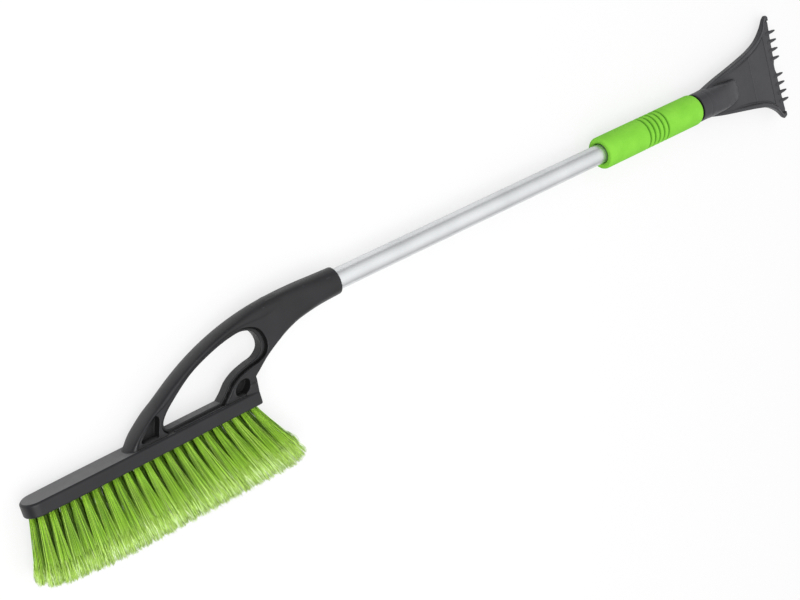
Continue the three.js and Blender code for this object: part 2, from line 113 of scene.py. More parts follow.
HEAD_TURN = -3.5  # degrees that the scraper head is turned about the tube
NECK_START, NECK_RADIUS = 770.9, 14.8
SHOULDER, BODY_RADIUS = 781.0, 15.2
BLADE_START, FACET_X, CREASE_X, EDGE_X = 786.0, 865.0, 898.0, 912.0
CREASE_STEP = 0.9
BLADE_HALF_WIDTH = 56.0
EDGE_CURVE = 560.0  # radius of the hollow line that the edge follows
SCRAPER_BORE_END = 808.0
TEETH_A_SIDE, TOOTH_PITCH, FIRST_TOOTH = 4, 9.3, 9.2
TOOTH_LENGTH, TOOTH_Z = 9.4, -11.1

SCREW_HEAD_RADIUS, SCREW_HEAD_HEIGHT = 3.6, 2.0
SCREW_SHANK_RADIUS, SCREW_TIP = 1.6, 6.6
SCREWS = {"socket_screw": (300.0, 11.2), "neck_screw": (793.0, 14.2)}  # x, depth of the seat

CAMERA_SENSOR, CAMERA_LENS = 36.0, 65.25
CAMERA_PLACE = (-270.683, 382.344, 1019.189)  # from the tube's axis, as the drawing's points are
CAMERA_TURN = (-9.76018, -36.01740, -17.15898)  # degrees about X, Y and Z

tube_low, tube_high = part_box("tube")
ORIGIN = Vector(
    (
        tube_low.x - TUBE_START * MM,
        (tube_low.y + tube_high.y) / 2,
        (tube_low.z + tube_high.z) / 2,
    )
)


def place(points):
    """Points of the drawing as points of the frame, in metres."""
    return np.asarray(points, float) * MM + np.array(ORIGIN)


# ---- Outlines ----------------------------------------------------------------
def spline(points, steps=8):
    """A smooth curve through the points, without the first of them."""
    p = np.asarray(points, float)
    out = []
    for i in range(len(p) - 1):
        before, after = p[max(i - 1, 0)], p[min(i + 2, len(p) - 1)]
        a, b = p[i], p[i + 1]
        for k in range(1, steps + 1):
            t = k / steps
            out.append(
                0.5
                * (
                    2 * a
                    + (b - before) * t
                    + (2 * before - 5 * a + 4 * b - after) * t**2
                    + (3 * a - before - 3 * b + after) * t**3
                )
            )
    return np.array(out)


def arc(centre, radius, start, end, steps):
    """Points of an arc, with the angles in degrees."""
    angles = np.radians(np.linspace(start, end, steps + 1))
    return np.asarray(centre) + radius * np.column_stack((np.cos(angles), np.sin(angles)))


def offset(outline, distance):
    """A closed outline moved inwards, or outwards where the distance is negative."""
    along = np.roll(outline, -1, axis=0) - np.roll(outline, 1, axis=0)
    along /= np.linalg.norm(along, axis=1)[:, None]
    return outline + distance * np.column_stack((-along[:, 1], along[:, 0]))


# The handle's top edge from the block to the socket, and its lower edge back from there.
HANDLE_TOP = [(88.5, -54.5), (97, -46.6), (107.4, -38.6), (119.9, -30.3), (143.7, -16.2)]
HANDLE_TOP += [(169.9, -4), (196.3, 4.9), (224.8, 11.2), (250, 13.4), (264, 12.4)]
HANDLE_LOW = [(270, -13.4), (260, -18.2), (249, -23.6), (232, -33), (221, -41.2), (214.4, -46)]


def loop_outline():
    """The hand loop's edge, anticlockwise from the left end of the rail."""
    right = [(178, RAIL_TOP), (184.5, -47.4), (191, -41), (200, -36), (211, -32.9), (220.6, -30.8)]
    right += [(227.6, -25), (228.9, -16.9), (225.2, -8), (217, -3.2), (206, -2.9), (186, -7.2)]
    right += [(160.5, -17), (137, -32.6), (126.6, -42.6), (125, -49), (128, RAIL_TOP)]
    rail = np.column_stack((np.linspace(128, 178, 12), np.full(12, RAIL_TOP)))
    return np.vstack((rail, spline(right, 6)[:-1]))


# ---- Solids ------------------------------------------------------------------
def mesh_object(name, points, faces):
    """An object of drawing points, placed in the frame."""
    mesh = bpy.data.meshes.new(name)
    mesh.from_pydata(place(points).tolist(), [], [list(f) for f in faces])
    mesh.validate()
    made = bpy.data.objects.new(name, mesh)
    bpy.context.scene.collection.objects.link(made)
    return made


def face_out(made):
    """Welds an object's mesh and turns its faces outwards."""
    bm = bmesh.new()
    bm.from_mesh(made.data)
    bmesh.ops.remove_doubles(bm, verts=bm.verts, dist=1e-6)
    bmesh.ops.recalc_face_normals(bm, faces=bm.faces)
    if bm.calc_volume(signed=True) < 0:
        bmesh.ops.reverse_faces(bm, faces=bm.faces)
    bm.to_mesh(made.data)
    bm.free()
    return made


def loft(name, rings):
    """A closed skin through rings of equal length."""
    count = len(rings[0])
    points = np.vstack(rings)
    faces = [tuple(range(count))[::-1], tuple(range((len(rings) - 1) * count, len(points)))]
    for r in range(len(rings) - 1):
        for i in range(count):
            a, b = r * count + i, r * count + (i + 1) % count
            faces.append((a, b, b + count, a + count))
    return face_out(mesh_object(name, points, faces))


def lathe(name, profile, segments=96):
    """A body turned about the tube's axis. Its profile, as (x, radius), is closed or ends on it."""
    profile = np.asarray(profile, float)
    closed = profile[0, 1] > 0 or profile[-1, 1] > 0
    angles = np.linspace(0, 2 * math.pi, segments, endpoint=False)
    points = [
        (x, radius * math.cos(a), radius * math.sin(a)) for a in angles for x, radius in profile
    ]
    count = len(profile)
    faces = []
    for s in range(segments):
        here, there = s * count, (s + 1) % segments * count
        for i in range(count if closed else count - 1):
            j = (i + 1) % count
            faces.append((here + i, here + j, there + j, there + i))
    made = mesh_object(name, points, faces)
    bm = bmesh.new()
    bm.from_mesh(made.data)
    bmesh.ops.remove_doubles(bm, verts=bm.verts, dist=1e-6)
    bmesh.ops.dissolve_degenerate(bm, edges=bm.edges, dist=1e-7)
    bmesh.ops.recalc_face_normals(bm, faces=bm.faces)
    bm.to_mesh(made.data)
    bm.free()
    return made


def evaluated(made):
    """Replaces an object by a mesh object that holds what its curve or modifiers make."""
    depsgraph = bpy.context.evaluated_depsgraph_get()
    mesh = bpy.data.meshes.new_from_object(made.evaluated_get(depsgraph))
    result = bpy.data.objects.new(made.name, mesh)
    result.matrix_world = made.matrix_world
    bpy.context.scene.collection.objects.link(result)
    bpy.data.objects.remove(made)
    mesh.transform(result.matrix_world)
    result.matrix_world.identity()
    return result


def plate(name, outlines, low, high, rounding=0.0):
    """Outlines in the drawing's XY plane, holes among them, raised from one height to another."""
    curve = bpy.data.curves.new(name, "CURVE")
    curve.dimensions = "2D"
    curve.fill_mode = "BOTH"
    curve.extrude = ((high - low) / 2 - rounding) * MM
    curve.bevel_depth = rounding * MM
    curve.offset = -rounding * MM
    curve.bevel_resolution = 5 if rounding > 1 else 2
    for outline in outlines:
        line = curve.splines.new("POLY")
        line.points.add(len(outline) - 1)
        for point, (x, y) in zip(line.points, outline):
            point.co = (x * MM, y * MM, 0, 1)
        line.use_cyclic_u = True
    made = bpy.data.objects.new(name, curve)
    made.location = ORIGIN + Vector((0, 0, (low + high) / 2 * MM))
    bpy.context.scene.collection.objects.link(made)
    bpy.context.view_layer.update()
    return face_out(evaluated(made))


def sweep(name, path, radius):
    """A round bar with closed, rounded ends along drawing points."""
    path = np.asarray(path, float)
    radii = radius if np.ndim(radius) else np.full(len(path), float(radius))
    along = np.gradient(path, axis=0)
    along /= np.linalg.norm(along, axis=1)[:, None]
    side = np.cross(along, (0, 0, 1))
    side /= np.linalg.norm(side, axis=1)[:, None]
    up = np.cross(side, along)
    angles = np.linspace(0, 2 * math.pi, 16, endpoint=False)
    rings = [
        p + r * (np.outer(np.cos(angles), s) + np.outer(np.sin(angles), u))
        for p, r, s, u in zip(path, radii, side, up)
    ]
    return loft(name, rings)


def cut(made, *tools):
    """Takes the tools' shapes out of an object and removes the tools."""
    for tool in tools:
        step = made.modifiers.new("cut", "BOOLEAN")
        step.operation = "DIFFERENCE"
        step.solver = "EXACT"
        step.object = tool
        made = evaluated_in_place(made)
    for tool in tools:
        bpy.data.objects.remove(tool)
    return made


def evaluated_in_place(made):
    """Applies an object's modifiers to its own mesh."""
    depsgraph = bpy.context.evaluated_depsgraph_get()
    mesh = bpy.data.meshes.new_from_object(made.evaluated_get(depsgraph))
    made.modifiers.clear()
    made.data = mesh
    return made


def moulded(name, shells, voxel, soften=4, keep=0.35):
    """Joins closed shells into one skin whose corners are softened, as on a plastic moulding."""
    bm = bmesh.new()
    for shell in shells:
        bm.from_mesh(shell.data)
        bpy.data.objects.remove(shell)
    mesh = bpy.data.meshes.new(name)
    bm.to_mesh(mesh)
    bm.free()
    made = bpy.data.objects.new(name, mesh)
    bpy.context.scene.collection.objects.link(made)
    skin = made.modifiers.new("skin", "REMESH")
    skin.mode = "VOXEL"
    skin.voxel_size = voxel * MM
    smooth = made.modifiers.new("soften", "SMOOTH")
    smooth.factor = 0.5
    smooth.iterations = soften
    thin = made.modifiers.new("thin", "DECIMATE")
    thin.ratio = keep
    evaluated_in_place(made)
    shade_smooth(made)
    return made


def shade_smooth(made):
    """Shades every face smooth."""
    made.data.polygons.foreach_set("use_smooth", [True] * len(made.data.polygons))
    made.data.update()


def cross_rings(stations, sides):
    """Rings across X. A station is (x, y, half height, z, half width, power): a power of 2 is an
    ellipse, and a larger one is squarer."""
    angles = 2 * math.pi * (np.arange(sides) + 0.5) / sides
    rings = []
    for x, y, high, z, wide, *power in stations:
        exponent = 2 / (power[0] if power else 2)
        across = np.sign(np.cos(angles)) * np.abs(np.cos(angles)) ** exponent
        up = np.sign(np.sin(angles)) * np.abs(np.sin(angles)) ** exponent
        rings.append(np.column_stack((np.full(sides, x), y + high * across, z + wide * up)))
    return rings


def fine_stations(stations, steps=5):
    """More stations on a smooth curve through the given ones."""
    full = [(*s, 2.0) if len(s) == 5 else s for s in stations]
    return [full[0], *spline(full, steps)]


# ---- Materials ---------------------------------------------------------------
class Nodes:
    """A material and short ways to add nodes to it."""

    def __init__(self, name):
        self.material = bpy.data.materials.new(name)
        self.material.use_nodes = True
        self.tree = self.material.node_tree
        self.shader = self.tree.nodes["Principled BSDF"]
        self.place = self.add("ShaderNodeTexCoord").outputs["Object"]

    def add(self, kind, **settings):
        node = self.tree.nodes.new(kind)
        for key, value in settings.items():
            if isinstance(value, bpy.types.NodeSocket):
                self.tree.links.new(value, node.inputs[key])
            elif key in node.inputs:
                node.inputs[key].default_value = value
            else:
                setattr(node, key, value)
        return node

    def link(self, output, socket):
        self.tree.links.new(output, self.shader.inputs[socket])

    def stretched(self, scale):
        mapping = self.add("ShaderNodeMapping", Vector=self.place)
        mapping.inputs["Scale"].default_value = scale
        return mapping.outputs[0]

    def noise(self, scale, detail=3.0, roughness=0.5, vector=None):
        node = self.add("ShaderNodeTexNoise", Scale=scale, Detail=detail, Roughness=roughness)
        self.tree.links.new(vector or self.place, node.inputs["Vector"])
        return node.outputs["Fac"]

    def ramp(self, value, stops):
        node = self.add("ShaderNodeValToRGB", Fac=value)
        elements = node.color_ramp.elements
        while len(elements) < len(stops):
            elements.new(0.5)
        for element, (position, colour) in zip(elements, stops):
            element.position = position
            element.color = (*colour, 1)
        return node.outputs["Color"]

    def span(self, value, low, high, to_low, to_high):
        node = self.add("ShaderNodeMapRange", Value=value)
        limits = {"From Min": low, "From Max": high, "To Min": to_low, "To Max": to_high}
        for socket, number in limits.items():
            node.inputs[socket].default_value = number
        return node.outputs["Result"]

    def math(self, operation, a, b):
        node = self.add("ShaderNodeMath", operation=operation)
        self.tree.links.new(a, node.inputs[0])
        self.tree.links.new(b, node.inputs[1])
        return node.outputs[0]

    def two_tones(self, value, dark, light):
        """A colour that wanders between two tones with a noise."""
        return self.ramp(value, [(0.3, dark), (0.7, light)])

    def pointiness(self):
        return self.add("ShaderNodeNewGeometry").outputs["Pointiness"]

    def height(self):
        """The place along Y in metres: away from the bristles it grows."""
        return self.add("ShaderNodeSeparateXYZ", Vector=self.place).outputs["Y"]

    def mix(self, factor, a, b, blend="MIX"):
        node = self.tree.nodes.new("ShaderNodeMix")
        node.data_type = "RGBA"
        node.blend_type = blend
        for socket, value in ((node.inputs[0], factor), (node.inputs[6], a), (node.inputs[7], b)):
            if isinstance(value, bpy.types.NodeSocket):
                self.tree.links.new(value, socket)
            elif isinstance(value, tuple):
                socket.default_value = (*value, 1)
            else:
                socket.default_value = value
        return node.outputs[2]

    def openness(self, distance):
        """1 on open surfaces, down to 0 deep in grooves and between strands."""
        node = self.add("ShaderNodeAmbientOcclusion", Distance=distance, samples=6)
        return node.outputs["AO"]

    def bump(self, height, strength, distance, onto=None):
        node = self.add("ShaderNodeBump", Height=height, Strength=strength, Distance=distance)
        if onto is not None:
            self.tree.links.new(onto, node.inputs["Normal"])
        return node.outputs["Normal"]


def black_plastic(name, dark, light):
    """Near-black satin moulding: paler on its edges, with a painted highlight on the block's top
    faces, and painted shade, near black and dull, where its hollows are deep."""
    n = Nodes(name)
    blue = 1.16  # the black leans to blue
    tone = n.two_tones(n.noise(35, 4), (dark, dark, dark * blue), (light, light, light * blue))
    # Convex edges, found by pointiness, get a paler grey.
    paler_edges = n.mix(n.span(n.pointiness(), 0.52, 0.60, 0, 0.30), tone, (0.055, 0.055, 0.060))
    # Painted shade: grooves and pockets, found by ambient occlusion, turn near black and rougher.
    groove = n.span(n.openness(0.006), 0.38, 0.88, 1, 0)
    painted_pocket_shade = n.span(n.openness(0.014), 0.22, 0.55, 1, 0)
    hollow = n.math("MAXIMUM", groove, painted_pocket_shade)
    # Painted highlight: faces of the block that look along +Y get a paler colour for the light they
    # catch.
    facing = n.add("ShaderNodeVectorMath", operation="DOT_PRODUCT")
    n.tree.links.new(n.add("ShaderNodeTexCoord").outputs["Normal"], facing.inputs[0])
    facing.inputs[1].default_value = (0, 1, 0)
    faces_up = n.span(facing.outputs["Value"], 0.93, 0.99, 0, 1)
    ledge = float(ORIGIN.y) + (RAIL_TOP + 2) * MM
    on_block = n.span(n.height(), ledge, ledge + 0.002, 1, 0)
    painted_top_highlight = n.mix(n.math("MULTIPLY", faces_up, on_block), paler_edges, (0.085, 0.085, 0.088))
    n.link(n.mix(hollow, painted_top_highlight, (0.0015, 0.0015, 0.0015)), "Base Color")
    satin = n.span(n.noise(160, 3), 0.3, 0.7, 0.36, 0.43)
    n.link(n.math("ADD", satin, n.span(hollow, 0, 1, 0, 0.55)), "Roughness")
    grain = n.bump(n.noise(2600, 2), 0.25, 0.00006)
    n.link(n.bump(n.noise(70, 2), 0.12, 0.0006, grain), "Normal")
    n.shader.inputs["Specular IOR Level"].default_value = 0.33
    return n.material


def green_foam():
    """Closed-cell foam rubber: fine pores, and painted shade darkening the pores, the grooves and
    the corners.
    """
    n = Nodes("green_foam")
    tone = n.two_tones(n.noise(60, 4), (0.185, 0.530, 0.040), (0.225, 0.600, 0.052))
    voronoi = n.add("ShaderNodeTexVoronoi", Scale=1500.0, Vector=n.place, feature="F1")
    cells = voronoi.outputs["Distance"]
    # Painted shade: the middle of each pore is darkened as though shade lay in it.
    pores = n.span(cells, 0.05, 0.35, 0.80, 1.0)
    painted_pore_shade = n.mix(1.0, tone, n.ramp(pores, [(0.0, (0, 0, 0)), (1.0, (1, 1, 1))]), "MULTIPLY")
    # Painted shade: grooves and concave corners, found by pointiness and ambient occlusion, go
    # darker green.
    hollow = n.span(n.pointiness(), 0.40, 0.49, 0.55, 0)
    painted_crevice_shade = n.span(n.openness(0.0025), 0.50, 0.95, 0.9, 0)
    painted_groove_shade = n.mix(hollow, painted_pore_shade, (0.10, 0.36, 0.015))
    n.link(n.mix(painted_crevice_shade, painted_groove_shade, (0.030, 0.150, 0.004)), "Base Color")
    n.link(n.span(n.noise(300, 2), 0.3, 0.7, 0.82, 0.95), "Roughness")
    fine = n.bump(cells, 0.35, 0.00012)
    n.link(n.bump(n.noise(500, 3), 0.25, 0.0003, fine), "Normal")
    n.shader.inputs["Specular IOR Level"].default_value = 0.2
    return n.material


def satin_aluminium():
    """Drawn and anodised aluminium tube: fine lines along it and a soft grey haze."""
    n = Nodes("satin_aluminium")
    drawn = n.noise(1.0, 3, 0.6, n.stretched((6, 2600, 2600)))
    tone = n.two_tones(n.noise(28, 3), (0.57, 0.585, 0.595), (0.65, 0.665, 0.675))
    n.link(n.mix(n.span(drawn, 0.3, 0.7, 0, 0.10), tone, (0.46, 0.47, 0.48)), "Base Color")
    n.link(n.span(drawn, 0.3, 0.7, 0.28, 0.36), "Roughness")
    n.link(n.bump(drawn, 0.12, 0.00005), "Normal")
    n.shader.inputs["Metallic"].default_value = 0.9
    return n.material


def screw_steel():
    """Zinc-plated steel with a mottled, slightly bluish surface."""
    n = Nodes("screw_steel")
    tone = n.two_tones(n.noise(900, 3), (0.42, 0.43, 0.45), (0.60, 0.61, 0.62))
    n.link(tone, "Base Color")
    n.link(n.span(n.noise(1400, 2), 0.3, 0.7, 0.28, 0.42), "Roughness")
    n.link(n.bump(n.noise(3000, 2), 0.2, 0.00005), "Normal")
    n.shader.inputs["Metallic"].default_value = 1.0
    return n.material


def green_bristle():
    """Green filament that pales towards its split tips. Each strand has its own tone, and painted
    shade darkens the gaps between the tufts near the block."""
    n = Nodes("green_bristle")
    low = float(ORIGIN.y) + TIP_Y * MM
    high = float(ORIGIN.y) + BLOCK_BOTTOM * MM
    along = n.span(n.height(), low, high, 0, 1)
    tones = [(0.0, (0.66, 0.90, 0.25)), (0.22, (0.56, 0.86, 0.13))]
    tones += [(0.42, (0.43, 0.81, 0.042)), (1.0, (0.40, 0.78, 0.034))]
    tone = n.ramp(along, tones)
    own = n.add("ShaderNodeNewGeometry").outputs["Random Per Island"]
    plain = (1, 1, 1)
    shares = [(0.0, (0.38, 0.46, 0.30)), (0.45, plain), (0.75, plain), (1.0, (1.7, 1.3, 4.5))]
    lit = n.mix(1.0, tone, n.ramp(own, shares), "MULTIPLY")
    # Painted shade: strands hidden between the tufts go dark green near the block.
    deep = n.span(n.openness(0.010), 0.30, 0.80, 1, 0)
    shade = n.math("MULTIPLY", deep, n.span(along, 0.15, 0.6, 0, 1))
    n.link(n.mix(shade, lit, (0.045, 0.120, 0.004)), "Base Color")
    n.link(n.span(n.noise(400, 2), 0.3, 0.7, 0.38, 0.55), "Roughness")
    n.link(n.bump(n.noise(3000, 2), 0.15, 0.00004), "Normal")
    return n.material


BLACK = black_plastic("black_plastic", 0.008, 0.013)
# A paler copy of the black plastic for the scraper head: its lighter tones paint the light the
# blade catches.
BLADE = black_plastic("blade_plastic_lit_copy", 0.024, 0.034)
FOAM = green_foam()
ALUMINIUM = satin_aluminium()
STEEL = screw_steel()
BRISTLE = green_bristle()


def finish_piece(made, material, slot, *nodes):
    """A piece stands for its CAD nodes, rides on their body and takes the given material. The slot
    is not used.
    """
    made.data.materials.clear()
    made.data.materials.append(material)
    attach(made, "root")
    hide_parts(*nodes)
    return made


# ---- Brush handle ------------------------------------------------------------
def block_plan(start, end, half_width, corner, taper=0.0):
    """A squared right end, straight sides that may draw in near the left, and a round left end."""
    left = half_width - taper
    return np.vstack(
        (
            arc((start + left, 0), left, 90, 270, 32),
            [(start + 46, -half_width)],
            arc((end - corner, -half_width + corner), corner, 270, 360, 5),
            arc((end - corner, half_width - corner), corner, 0, 90, 5),
            [(start + 46, half_width)],
        )
    )


def plan_loft(name, levels):
    """A loft through plans, as (height, start, end, half width, corner, taper)."""
    rings = []
    for y, *plan in levels:
        flat = block_plan(*plan)
        rings.append(np.column_stack((flat[:, 0], np.full(len(flat), y), flat[:, 1])))
    return loft(name, rings)


def block_shell():
    """The brush block, hollowed from below for the bristles' backing."""

    def level(y, inset):
        start, end = BLOCK_START + inset, BLOCK_END - inset
        return (y, start, end, BLOCK_HALF_WIDTH - inset, 2.5, BLOCK_TAPER)

    block = plan_loft(
        "block",
        [
            level(BLOCK_BOTTOM, 0.6),
            level(BLOCK_BOTTOM + 0.6, 0),
            level(BLOCK_TOP - BLOCK_CHAMFER, 0),
            level(BLOCK_TOP, BLOCK_CHAMFER),
        ],
    )
    recess = [
        (y, RECESS_START, RECESS_END, RECESS_HALF_WIDTH, 1.5)
        for y in (BLOCK_BOTTOM - 1, BLOCK_BOTTOM + RECESS_DEPTH)
    ]
    return cut(block, plan_loft("recess", recess))


def socket_shell():
    """The squared end of the handle, which turns into a round socket."""
    stations = [
        (234.5, -9, 18.6, 0, 8.7, 4.6),
        (243, -6.9, 19.3, 0, 9.4, 4.4),
        (250, -5, 17.7, 0, 10, 4),
        (258, -3.2, 16.3, 0, 10.3, 3.5),
        (268, -1.6, 14.9, 0, 10.8, 3),
        (280, -0.6, 13.9, 0, 11.4, 2.6),
        (294, -0.1, 13, 0, 12, 2.2),
        (SOCKET_END - 1.6, 0, 12.4, 0, 12.4),
        (SOCKET_END - 0.6, 0, 12.2, 0, 12.2),
        (SOCKET_END, 0, 11.6, 0, 11.6),
    ]
    return loft("socket", cross_rings(fine_stations(stations), 80))


def bore_tool(start, end):
    """The room that the tube needs between two places along it."""
    radius = TUBE_RADIUS + BORE_CLEARANCE
    return lathe("bore", [(start, 0), (start, radius), (end, radius), (end, 0)])


def screw_hole(node):
    """The room a screw needs, drilled up from below."""
    x, seat = SCREWS[node]
    head, shank = SCREW_HEAD_RADIUS + BORE_CLEARANCE, SCREW_SHANK_RADIUS + BORE_CLEARANCE
    ledge = -seat + BORE_CLEARANCE
    profile = [(-SCREW_TIP, 0), (-SCREW_TIP, shank), (ledge, shank), (ledge, head)]
    made = lathe("screw hole", [*profile, (-seat - 9, head), (-seat - 9, 0)], 48)
    return stood_up(made, x)


def stood_up(made, x):
    """Turns a lathed body from the tube's axis to the vertical at a place along the tube."""
    turn = Euler((0, math.radians(-90), 0)).to_matrix().to_4x4()
    for vertex in made.data.vertices:
        vertex.co = turn @ (vertex.co - ORIGIN) + ORIGIN + Vector((x * MM, 0, 0))
    return face_out(made)


def head_turned(made):
    """Turns a piece a little about the tube, as the head was pushed on."""
    turn = Matrix.Rotation(math.radians(HEAD_TURN), 3, "X")
    for vertex in made.data.vertices:
        vertex.co = turn @ (vertex.co - ORIGIN) + ORIGIN
    return made


def pocket_outlines():
    """The cored-out hollows of the loop's two feet."""
    outer = [(117.6, -52.6), (119.2, -47.5), (121.6, -41.5), (122.2, -37.4), (120.6, -35.2)]
    inner = [(120.6, -35.2), (116.5, -36.8), (111, -41.6), (105.4, -46.8), (102.4, -49.8)]
    bottom = [(102.6, -51.4), (104, -52.2), (117.6, -52.6)]
    front = np.vstack((bottom, spline(outer, 5), spline(inner, 5)))
    angles = np.linspace(0, 2 * math.pi, 40, endpoint=False)
    c, s = math.cos(math.radians(32)), math.sin(math.radians(32))
    x, y = 8.2 * np.cos(angles), 5.4 * np.sin(angles)
    rear = np.column_stack((199.6 + x * c - y * s, -46.9 + x * s + y * c))
    return front, rear


def both_sides(name, outlines, low):
    """Tools that cut the same shape into both faces, down to a height from the middle."""
    return [plate(name, outlines, low, OUTSIDE), plate(name, outlines, -OUTSIDE, -low)]


def smooth_steps(values, rounds=3):
    """A row of numbers with its corners taken off."""
    values = np.array(values, float)
    for _ in range(rounds):
        values[1:-1] = (values[:-2] + 2 * values[1:-1] + values[2:]) / 4
    return values


def lip_widths(loop):
    """How far the lip reaches into the moulding: widest at the loop's right end."""
    x, y = loop.T
    right_end = np.clip((x - 220) / 7, 0, 1)
    foot = np.clip((x - 176) / 8, 0, 1) * np.clip((-28 - y) / 4, 0, 1)
    return smooth_steps(1.5 - 0.7 * foot + 1.3 * right_end)[:, None]


def drawn_in(edge, distance):
    """Moves an edge of the handle towards the handle's middle, which lies on its right."""
    along = np.gradient(edge, axis=0)
    along /= np.linalg.norm(along, axis=1)[:, None]
    return edge + np.column_stack((along[:, 1], -along[:, 0])) * np.reshape(distance, (-1, 1))


def arch_halves(edge, loop):
    """Half the thickness of the rounded member between the handle's top edge and the loop."""
    front_pocket, _ = pocket_outlines()
    rooms = [
        np.linalg.norm(edge[:, None] - outline[None], axis=2).min(axis=1) - margin
        for outline, margin in ((loop, 1.6), (front_pocket, 0.8))
    ]
    return smooth_steps(np.clip(np.minimum(*rooms) / 2, 2.4, 8.0), 12)


def edge_bar(name, edge, half, width, power):
    """A rounded member that lies just inside an edge of the handle."""
    angles = 2 * math.pi * (np.arange(40) + 0.5) / 40
    across = np.sign(np.cos(angles)) * np.abs(np.cos(angles)) ** (2 / power)
    up = width * np.sign(np.sin(angles)) * np.abs(np.sin(angles)) ** (2 / power)
    middle = drawn_in(edge, half)
    return loft(
        name,
        [np.column_stack((m + np.outer(across, m - e), up)) for m, e in zip(middle, edge)],
    )


def gusset_shell():
    """The foot at the right end widens down to the block."""
    end = BLOCK_END - 0.3
    rings = []
    for y, start, half in ((-43.5, 208, 8), (-48, 203.5, 10.6), (BLOCK_TOP - 0.6, 199, 12)):
        near = half - 1.4
        rings.append([(start, y, near), (end, y, half), (end, y, -half), (start, y, -near)])
    gusset = loft("gusset", rings)
    return cut(gusset, *both_sides("pocket", [pocket_outlines()[1]], POCKET_WEB))


def bead(name, path, height, radius):
    """A rounded ridge along a path on both faces, fading at its ends."""
    steps = np.arange(len(path))
    fade = np.clip(np.minimum(steps, steps[::-1]) / 4, 0.25, 1)
    shells = []
    for side in (-1, 1):
        z = side * (height - radius * (1 - fade) * 1.5)
        shells.append(sweep(name, np.column_stack((path, z)), radius * fade))
    return shells


def side_panels(loop, channel, top, half, low, bore):
    """The thin body of the handle, set in from the bars along its edges."""
    right = [(283, 5), (283, -6)]
    foot = [(211.7, -49), (211.7, -62)]
    upper, lower = drawn_in(top, half * 0.55), drawn_in(low, LOW_EDGE * 0.55)
    outline = np.vstack((upper, right, lower, foot))
    side = plate("side", [outline, loop], -PLATE_HALF_WIDTH, PLATE_HALF_WIDTH, 0.8)
    side = cut(side, *both_sides("channel", channel, CHANNEL_FLOOR))
    for pocket in pocket_outlines():
        side = cut(side, *both_sides("pocket", [pocket], POCKET_WEB))
    return cut(side, bore_tool(*bore))


def rear_panel(loop, lip):
    """The flat cheek round the rear pocket."""
    border = offset(loop, -lip - 0.8)[12:36]
    lower = [(213.6, -37), (214.2, -45.8), (212.5, -62), (179, -62)]
    outline = np.vstack((border, lower))
    panel = plate("panel", [outline], -PLATE_HALF_WIDTH, PLATE_HALF_WIDTH, 0.6)
    return cut(panel, *both_sides("pocket", [pocket_outlines()[1]], POCKET_WEB))


def pocket_rims():
    """A fine rim round the mouth of each pocket."""
    front, rear = pocket_outlines()
    shells = []
    for outline in (rear, front):
        rim = offset(outline, -POCKET_RIM)
        closed = np.vstack((rim, rim[:2]))
        for side in (-1, 1):
            z = np.full(len(closed), side * (PLATE_HALF_WIDTH - 0.2))
            shells.append(sweep("rim", np.column_stack((closed, z)), POCKET_RIM))
    return shells


def rail_beads():
    """A ridge along each side of the rail, where it meets the block."""
    rail = np.linspace(131, 183, 24)
    shells = []
    for side in (-1, 1):
        path = np.column_stack((rail, np.full(24, BLOCK_TOP - 0.1), np.full(24, side * 9.4)))
        shells.append(sweep("rail bead", path, 0.9))
    return shells


def brush_handle():
    loop = loop_outline()
    lip = lip_widths(loop)
    bore = (BORE_START, SOCKET_END + 5)
    channel = [offset(loop, -lip - CHANNEL_WIDTH), offset(loop, 2.0)]
    top = np.vstack(([(87, -60)], spline(HANDLE_TOP, 10)))
    half = arch_halves(top, loop)
    low = spline(HANDLE_LOW)
    side = side_panels(loop, channel, top, half, low, bore)
    ring = [offset(loop, -lip), offset(loop, LIP_WIDTH)]
    ring = plate("lip", ring, -LIP_HALF_WIDTH, LIP_HALF_WIDTH, 0.5)
    socket = cut(socket_shell(), bore_tool(*bore), screw_hole("socket_screw"))
    low_edge = edge_bar("low edge", low, np.full(len(low), LOW_EDGE), PLATE_HALF_WIDTH, 2.2)
    low_edge = cut(low_edge, *both_sides("channel", channel, CHANNEL_FLOOR))
    arch = edge_bar("arch", top, half, HANDLE_HALF_WIDTH, 2.1)
    shells = [low_edge, side, ring, arch, block_shell(), gusset_shell(), socket]
    shells.append(rear_panel(loop, lip))
    shells += bead("foot bead", offset(loop, -lip - 1.7)[13:45], PLATE_HALF_WIDTH - 0.3, 0.9)
    shells += pocket_rims()
    shells += rail_beads()
    made = moulded("snow_brush_handle", shells, 0.4)
    return finish_piece(made, BLACK, "black_plastic", "brush_handle")


brush_handle()


# ---- Bristles ----------------------------------------------------------------
# The bristles' room in the drawing, a little inside the boxes of their solids.
bristle_boxes = [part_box(f"bristles_{n}") for n in (1, 2, 3, 4)]
BRISTLE_LIMITS = (
    (np.min([low for low, _ in bristle_boxes], axis=0) - np.array(ORIGIN)) / MM + 0.05,
    (np.max([high for _, high in bristle_boxes], axis=0) - np.array(ORIGIN)) / MM - 0.05,
)


def tuft_centres():
    """Where the tufts stand: three staggered rows, and a few more at the round left end."""
    centres = []
    for i in range(TUFT_COLUMNS):
        x = FIRST_TUFT + TUFT_PITCH * i
        centres += [(x, OUTER_ROW), (x, -OUTER_ROW), (x - TUFT_PITCH / 2, 0.0)]
    centres.append((LAST_TUFT + TUFT_PITCH * 0.45, 0.0))
    centres.append((FIRST_TUFT - TUFT_PITCH * 0.94, 6.2))
    centres.append((FIRST_TUFT - TUFT_PITCH * 0.94, -6.2))
    centres.append((FIRST_TUFT - TUFT_PITCH * 1.43, 0.0))
    return centres


def fan_out(x, z):
    """Where the middle of a tuft's tips stands, for a tuft at this place of the block."""
    lean = 0.18 * (x - 5) - 8 - 0.16 * max(0.0, 12 - x)
    return np.array((x + lean, z * 1.95))


def trim_at(x):
    """How much shorter the strands are at the two ends of the brush."""
    left = TRIM_LEFT_SLOPE * np.maximum(0, TRIM_LEFT - x)
    return left + TRIM_RIGHT_SLOPE * np.maximum(0, x - TRIM_RIGHT)


